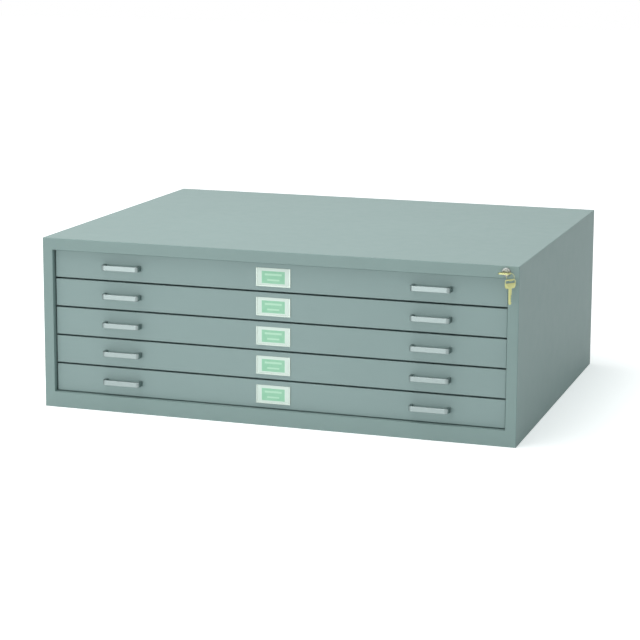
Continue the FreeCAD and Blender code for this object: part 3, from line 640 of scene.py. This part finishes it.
def makeRivets():
    look = rivetLook
    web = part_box("case_runners")[1].x - look["web"] * mm
    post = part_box("interior_uprights")[1].y - look["postWidth"] / 2 * mm
    shape = bmesh.new()
    for number in drawers:
        low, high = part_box(f"front_rollers_{number}")
        for side in (-1, 1):
            for y in (-post, post):
                for offset in (-look["apart"] / 2, look["apart"] / 2):
                    addBall(
                        shape, look["radius"] * mm, look["sides"],
                        (side * web, y + offset * mm, (low.z + high.z) / 2),
                        look["height"] / look["radius"],
                    )
    addPiece("runnerRivets", shape, "case", "bare_steel")


makeRivets()
print("runner rivets")


# Back panel: a shallow pan set into the case, whose bent edges leave a fine seam round it, with
# the ring marks of spot welds along its flanges.
backLook = {
    "sheet": 1.2,
    "bend": 1.5,
    "bendSegments": 4,
    "setback": 0.3,
    "weldInset": 9.0,
    "weldPitch": 73.0,
    # (radius, level) points of a ring mark, from its inside to its outside
    "weldRing": [(2.2, -0.4), (2.2, 0), (2.6, 0.2), (3.0, 0.2), (3.4, 0), (3.4, -0.4)],
    "weldSteps": 16,
}


def makeBackPanel():
    look = backLook
    low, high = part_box("back_panel")
    high.y -= look["setback"] * mm
    middle = (low + high) / 2
    shape = bmesh.new()
    verts = bmesh.ops.create_cube(shape, size=1.0)["verts"]
    bmesh.ops.scale(shape, vec=high - low, verts=verts)
    bmesh.ops.translate(shape, vec=middle, verts=verts)
    inside = [face for face in shape.faces if face.normal.y < -0.5]
    bmesh.ops.delete(shape, geom=inside, context="FACES")
    rim = [edge for edge in shape.edges if all(vert.co.y > high.y - near for vert in edge.verts)]
    corners = [
        edge for edge in shape.edges if abs(edge.verts[0].co.y - edge.verts[1].co.y) > near
    ]
    roundEdges(shape, rim + corners, look["bend"] * mm, look["bendSegments"])
    bmesh.ops.recalc_face_normals(shape, faces=shape.faces)
    bmesh.ops.solidify(shape, geom=shape.faces[:], thickness=look["sheet"] * mm)
    inset = look["weldInset"] * mm
    halfWidth = (high.x - low.x) / 2 - inset
    halfHeight = (high.z - low.z) / 2 - inset
    spots = []
    for half, other, upright in ((halfWidth, halfHeight, False), (halfHeight, halfWidth, True)):
        count = round(2 * half / (look["weldPitch"] * mm))
        for index in range(count):
            along = half * (2 * (index + 0.5) / count - 1)
            spots += [(across, along) if upright else (along, across) for across in (-other, other)]
    for x, z in spots:
        place = (middle.x + x, high.y, middle.z + z)
        spinRound(shape, look["weldRing"], place, (0, 1, 0), look["weldSteps"])
    addPiece("backPanel", shape, "case", "case_enamel", "back_panel")


makeBackPanel()
print("back panel")


# Lock housing: a stepped bezel on a threaded barrel, with a hexagonal nut behind the sheet.
housingLook = {
    # (radius, level) points of the bezel, from its bore to its foot on the sheet
    "bezel": [
        (6.05, -1.6), (7.1, -1.6), (7.3, -2.0), (8.9, -2.0), (9.8, -1.8), (10.35, -1.3),
        (10.5, -0.8), (10.5, 0.0),
    ],
    "bezelHeight": 2.0,
    "bore": 6.05,
    "barrelRadius": 8.5,
    "barrelLength": 22.25,
    "threadRoot": 8.1,
    "threadPitch": 1.0,
    "threadStop": 1.0,
    "sheet": 1.2,
    "nutRadius": 11.5,
    "nutHeight": 4.0,
    "nutPlay": 0.05,
    "nutChamfer": 0.6,
    "steps": 48,
}


def makeLockHousing():
    look = housingLook
    low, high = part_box("lock_housing")
    centre = Vector((
        (low.x + high.x) / 2, low.y + look["bezelHeight"] * mm, (low.z + high.z) / 2,
    ))
    barrel = look["barrelRadius"]
    root = look["threadRoot"]
    end = look["barrelLength"]
    profile = look["bezel"] + [(barrel, 0.0), (barrel, look["sheet"])]
    profile += threadPoints(
        barrel, root, look["sheet"], end - look["threadStop"], look["threadPitch"],
    )
    profile += [(root, end), (look["bore"], end)]
    shape = bmesh.new()
    spinRound(shape, profile, centre, (0, 1, 0), look["steps"])
    # The nut is a spun ring whose outside is drawn out to a hexagon.
    nutBase = look["sheet"]
    nutTop = nutBase + look["nutHeight"]
    inner = barrel + look["nutPlay"]
    flat = look["nutRadius"] * math.cos(math.pi / 6)
    nut = bmesh.new()
    spinRound(nut, [
        (inner, nutBase), (flat, nutBase), (flat, nutTop - look["nutChamfer"]),
        (flat - look["nutChamfer"], nutTop), (inner, nutTop),
    ], centre, (0, 1, 0), look["steps"])
    for vert in nut.verts:
        away = Vector((vert.co.x - centre.x, vert.co.z - centre.z))
        if away.length > flat * mm - near:
            turn = math.atan2(away.x, away.y) % (math.pi / 3) - math.pi / 6
            away *= 1 / math.cos(turn)
            vert.co.x, vert.co.z = centre.x + away.x, centre.z + away.y
    joinShape(shape, nut)
    addPiece("lockBezel", shape, "case", "lock_nickel", "lock_housing")


makeLockHousing()
print("lock housing")


# Keys: stamped flat keys with a milled groove and cuts, and the split ring that joins them.
keyLook = {
    "thickness": 2.0,
    "bowHalf": 14.5,
    "bowLength": 21.0,
    "bowCorner": 6.0,
    "rim": 3.0,
    "sideRim": 1.5,
    "slot": 6.0,
    "slotCorner": 1.5,
    "neck": 3.0,
    "neckCorner": 1.2,
    "bladeHalf": 4.1,
    "blade": 23.85,
    "spareBlade": 34.0,
    "spareTurn": 50.0,
    "cutStart": 1 / 3,
    "cutHalf": 0.02,
    # share of the blade's length, and depth
    "cuts": ((0.42, 2.1), (0.5, 0.9), (0.6, 2.4), (0.7, 1.2), (0.8, 2.0)),
    "tipLength": 4.0,
    "tipSlope": 2.0,
    "groove": 1.5,
    "grooveStop": 2.5,
    "grooveDepth": 0.45,
    "grooveSlope": 0.6,
    "chamfer": 0.25,
    "chamferSegments": 2,
    "chamferAngle": 75.0,
}
ringLook = {
    "radius": 9.0,
    "wire": 0.42,
    "wireSides": 12,
    "wireRoom": 0.9,
    "step": 0.86,
    "jog": 60.0,
    "jogSteps": 10,
    "turnSteps": 50,
}


# Adds a key on its own axis, with its blade to +Y and its bow to -Y, and moves it by a matrix.
def keyShape(shape, blade, matrix):
    look = keyLook
    half = look["bowHalf"]
    bowTop = -look["neck"]
    bowEnd = bowTop - look["bowLength"]
    corner = look["bowCorner"]
    slotLow = bowEnd + look["rim"]
    slotHigh = slotLow + look["slot"]
    slotHalf = half - look["sideRim"]
    slotCorner = look["slotCorner"]
    width = look["bladeHalf"]
    shoulder = blade - look["tipLength"]
    tipHalf = width - look["tipSlope"]
    grooveEnd = blade - look["grooveStop"]
    groove = [(0, grooveEnd, 0), (look["groove"], grooveEnd, 0), (look["groove"], 0, 0), (0, 0, 0)]
    slot = [
        (0, slotHigh, 0), (slotHalf, slotHigh, slotCorner), (slotHalf, slotLow, slotCorner),
        (0, slotLow, 0),
    ]
    bow = [(half, bowEnd, corner), (half, bowTop, corner), (width, bowTop, look["neckCorner"])]
    cuts = [(width, blade * look["cutStart"], 0)]
    for share, depth in look["cuts"]:
        for end in (share - look["cutHalf"], share + look["cutHalf"]):
            cuts.append((width - depth, blade * end, 0))
    tip = [(width, shoulder, 0), (tipHalf, blade, 0)]
    right = groove + slot + [(0, bowEnd, 0)] + bow + cuts + tip + [(0, blade, 0)]
    left = [groove[0], groove[-1]] + slot + [(0, bowEnd, 0)] + bow + tip + [(0, blade, 0)]
    left = [(-u, v, radius) for u, v, radius in left]
    flat = bmesh.new()
    spots = {}
    faces = []
    for corners in (right, left, groove):
        verts = []
        for point in roundedLoop(corners):
            spot = (round(point.x, 3), round(point.y, 3))
            if spot not in spots:
                spots[spot] = flat.verts.new((
                    spot[0] * mm, spot[1] * mm, -look["thickness"] / 2 * mm,
                ))
            verts.append(spots[spot])
        faces.append(flat.faces.new(verts))
    grown = bmesh.ops.extrude_face_region(flat, geom=faces)["geom"]
    lifted = [item for item in grown if isinstance(item, bmesh.types.BMVert)]
    bmesh.ops.translate(flat, verts=lifted, vec=(0, 0, look["thickness"] * mm))
    bmesh.ops.recalc_face_normals(flat, faces=flat.faces)
    middle = Vector((look["groove"] / 2 * mm, grooveEnd / 2 * mm))
    milled = []
    for face in flat.faces:
        centre = face.calc_center_median()
        upward = abs(face.normal.z) > 0.9
        if len(face.verts) == 4 and upward and (centre.xy - middle).length < near:
            milled.append(face)
    sunk = look["grooveDepth"] * mm
    bmesh.ops.inset_individual(
        flat, faces=milled, thickness=sunk * look["grooveSlope"], depth=-sunk,
    )
    rims = []
    for edge in flat.edges:
        first, second = edge.verts
        level = abs(first.co.z - second.co.z) < near
        if level and edge.calc_face_angle(0) > math.radians(look["chamferAngle"]):
            rims.append(edge)
    roundEdges(flat, rims, look["chamfer"] * mm, look["chamferSegments"])
    bmesh.ops.transform(flat, matrix=matrix, verts=flat.verts)
    joinShape(shape, flat)


# A ring of two turns of wire side by side, with one step from the first turn to the second.
def splitRing(shape, centre):
    look = ringLook
    start = centre + Vector((look["radius"] * mm, -look["step"] / 2 * mm, 0))
    wire = bmesh.ops.create_circle(
        shape, cap_ends=True, segments=look["wireSides"], radius=look["wire"] * mm,
    )["verts"]
    bmesh.ops.translate(shape, verts=wire, vec=start)
    turn = Matrix.Rotation(math.radians(look["jog"]), 3, "Y")
    bmesh.ops.rotate(shape, verts=wire, cent=centre, matrix=turn)
    geom = list({face for vert in wire for face in vert.link_faces})
    whole = (360.0 - look["jog"], look["turnSteps"], 0.0)
    jog = (look["jog"], look["jogSteps"], look["step"])
    for angle, steps, rise in (whole, jog, whole):
        geom = bmesh.ops.spin(
            shape, geom=geom, cent=centre, axis=(0, 1, 0), dvec=(0, rise / steps * mm, 0),
            angle=math.radians(angle), steps=steps, use_merge=False,
        )["geom_last"]


def makeKeys():
    look = keyLook
    low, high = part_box("key")
    reach = (look["neck"] + look["bowLength"]) * mm
    place = Vector(((low.x + high.x) / 2, low.y + reach, (low.z + high.z) / 2))
    shape = bmesh.new()
    keyShape(shape, look["blade"], Matrix.Translation(place))
    addPiece("lockKey", shape, "key", "key_brass", "key")
    low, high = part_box("key_ring")
    radius = (ringLook["radius"] + ringLook["wireRoom"]) * mm
    centre = Vector(((low.x + high.x) / 2, (low.y + high.y) / 2, high.z - radius))
    shape = bmesh.new()
    splitRing(shape, centre)
    hang = Vector((centre.x, centre.y, low.z + look["spareBlade"] * mm))
    aside = Matrix.Rotation(math.radians(look["spareTurn"]), 4, "Z")
    downward = Matrix.Rotation(math.radians(-90), 4, "X")
    keyShape(shape, look["spareBlade"], Matrix.Translation(hang) @ aside @ downward)
    addPiece("spareKeyOnRing", shape, "key_ring", "key_brass", "key_ring")


makeKeys()
print("keys and ring")


# Ground, light and camera.

# 1 for what the camera sees straight or in metal and glass, 0 for light that falls on things.
def seenShare(tree):
    path = addNode(tree, "LightPath").node.outputs
    mirrored = addNode(tree, "Math", {
        0: path["Is Camera Ray"], 1: path["Is Glossy Ray"],
    }, operation="MAXIMUM")
    return addNode(tree, "Math", {
        0: mirrored, 1: path["Is Transmission Ray"],
    }, operation="MAXIMUM")


# Right, up and back of something that looks along -back with +Z up.
def lookAxes(back, roll=0.0):
    right = Vector((0, 0, 1)).cross(back).normalized()
    up = back.cross(right)
    turn = math.radians(roll)
    rolled = right * math.cos(turn) + up * math.sin(turn)
    return rolled, up * math.cos(turn) - right * math.sin(turn), back


# A transform from a place and the three axes that the camera or lamp is turned to.
def setBack(place, axes):
    right, up, back = axes
    return Matrix((
        (right.x, up.x, back.x, place.x),
        (right.y, up.y, back.y, place.y),
        (right.z, up.z, back.z, place.z),
        (0, 0, 0, 1),
    ))


groundLook = {
    "size": 30.0,
    "near": 0.5,
    "far": 0.7,
    "nearTo": 1.2,
    "farFrom": 3.0,
    "albedo": 0.88,
}


def makeGround():
    look = groundLook
    mesh = bpy.data.meshes.new("ground")
    shape = bmesh.new()
    bmesh.ops.create_grid(shape, x_segments=1, y_segments=1, size=look["size"] / 2)
    shape.to_mesh(mesh)
    shape.free()
    ground = bpy.data.objects.new("ground", mesh)
    bpy.context.scene.collection.objects.link(ground)
    # White paper sweep. It glows for the camera, so that only shade shows on it.
    material = newMaterial("whitePaperGround")
    tree = material.node_tree
    albedo = (look["albedo"],) * 3 + (1.0,)
    paper = addNode(tree, "BsdfDiffuse", {"Color": albedo})
    place = addNode(tree, "TexCoord", output="Object")
    reach = addNode(tree, "VectorMath", {0: place}, "Value", operation="LENGTH")
    level = addNode(tree, "MapRange", {
        "Value": reach, "From Min": look["nearTo"], "From Max": look["farFrom"],
        "To Min": look["near"], "To Max": look["far"],
    })
    glow = addNode(tree, "Emission", {"Color": (1, 1, 1, 1), "Strength": level})
    both = addNode(tree, "AddShader", {0: paper, 1: glow})
    seen = addNode(tree, "MixShader", {0: seenShare(tree), 1: paper, 2: both})
    addNode(tree, "OutputMaterial", {"Surface": seen})
    mesh.materials.append(material)


worldLook = {
    "left": 0.62,
    "right": 0.385,
    "leftTint": "FFFFFF",
    "rightTint": "D8F1F2",
    "turn": 0.6,
}


# A white room that is dimmer on the right, and plain white where the camera sees it.
def makeWorld():
    look = worldLook
    world = bpy.data.worlds.new("studioRoom")
    world.use_nodes = True
    tree = world.node_tree
    tree.nodes.clear()
    direction = addNode(tree, "TexCoord", output="Generated")
    across = addNode(tree, "SeparateXYZ", {0: direction}, "X")
    share = addNode(tree, "MapRange", {
        "Value": across, "From Min": -look["turn"], "From Max": look["turn"],
    })
    side = addNode(tree, "MapRange", {
        "Value": share, "To Min": look["left"], "To Max": look["right"],
    })
    seen = seenShare(tree)
    level = addNode(tree, "Mix", {0: seen, 2: side, 3: 1.0}, data_type="FLOAT")
    tint = addNode(tree, "Mix", {
        0: share, 6: linear(look["leftTint"]), 7: linear(look["rightTint"]),
    }, 2, data_type="RGBA")
    colour = addNode(tree, "Mix", {0: seen, 6: tint, 7: (1, 1, 1, 1)}, 2, data_type="RGBA")
    room = addNode(tree, "Background", {"Color": colour, "Strength": level})
    addNode(tree, "OutputWorld", {"Surface": room})
    bpy.context.scene.world = world


# name, place, aim, width, height, watts
lampLook = [
    ("topSoftbox", (-0.6, -0.6, 3.2), (0.0, 0.0, 0.4), 3.0, 2.4, 76.0),
    ("frontSoftbox", (-1.2, -4.2, 0.4), (0.0, -0.4, 0.2), 2.6, 1.0, 43.0),
]


def makeLamps():
    for name, place, aim, width, height, watts in lampLook:
        light = bpy.data.lights.new(name, "AREA")
        light.shape = "RECTANGLE"
        light.size = width
        light.size_y = height
        light.energy = watts
        lamp = bpy.data.objects.new(name, light)
        place = Vector(place)
        lamp.matrix_world = setBack(place, lookAxes((place - Vector(aim)).normalized()))
        bpy.context.scene.collection.objects.link(lamp)


# The camera that was fitted to the corners of the cabinet in the photograph.
cameraLook = {
    "azimuth": 18.3,
    "elevation": 9.98,
    "roll": 0.26,
    "across": 4.5 * inch,
    "above": 15.83 * inch,
    "distance": 185.19 * inch,
    "lens": 111.9,
    "sensor": 36.0,
    "shiftY": -0.1,
    "reach": 100.0,
}


def makeCamera():
    look = cameraLook
    turn = math.radians(look["azimuth"])
    rise = math.radians(look["elevation"])
    back = Vector((
        math.sin(turn) * math.cos(rise), -math.cos(turn) * math.cos(rise), math.sin(rise),
    ))
    axes = lookAxes(back, look["roll"])
    middle = Vector((0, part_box("case_wrapper")[0].y, 0))
    place = middle + axes[0] * look["across"] + axes[1] * look["above"]
    place += back * look["distance"]
    data = bpy.data.cameras.new("photoCamera")
    data.lens = look["lens"]
    data.sensor_width = look["sensor"]
    data.shift_y = look["shiftY"]
    data.clip_end = look["reach"]
    camera = bpy.data.objects.new("photoCamera", data)
    camera.matrix_world = setBack(place, axes)
    bpy.context.scene.collection.objects.link(camera)
    bpy.context.scene.camera = camera


makeGround()
makeWorld()
makeLamps()
makeCamera()
bpy.context.scene.view_settings.view_transform = "Standard"
print("ground, light and camera")
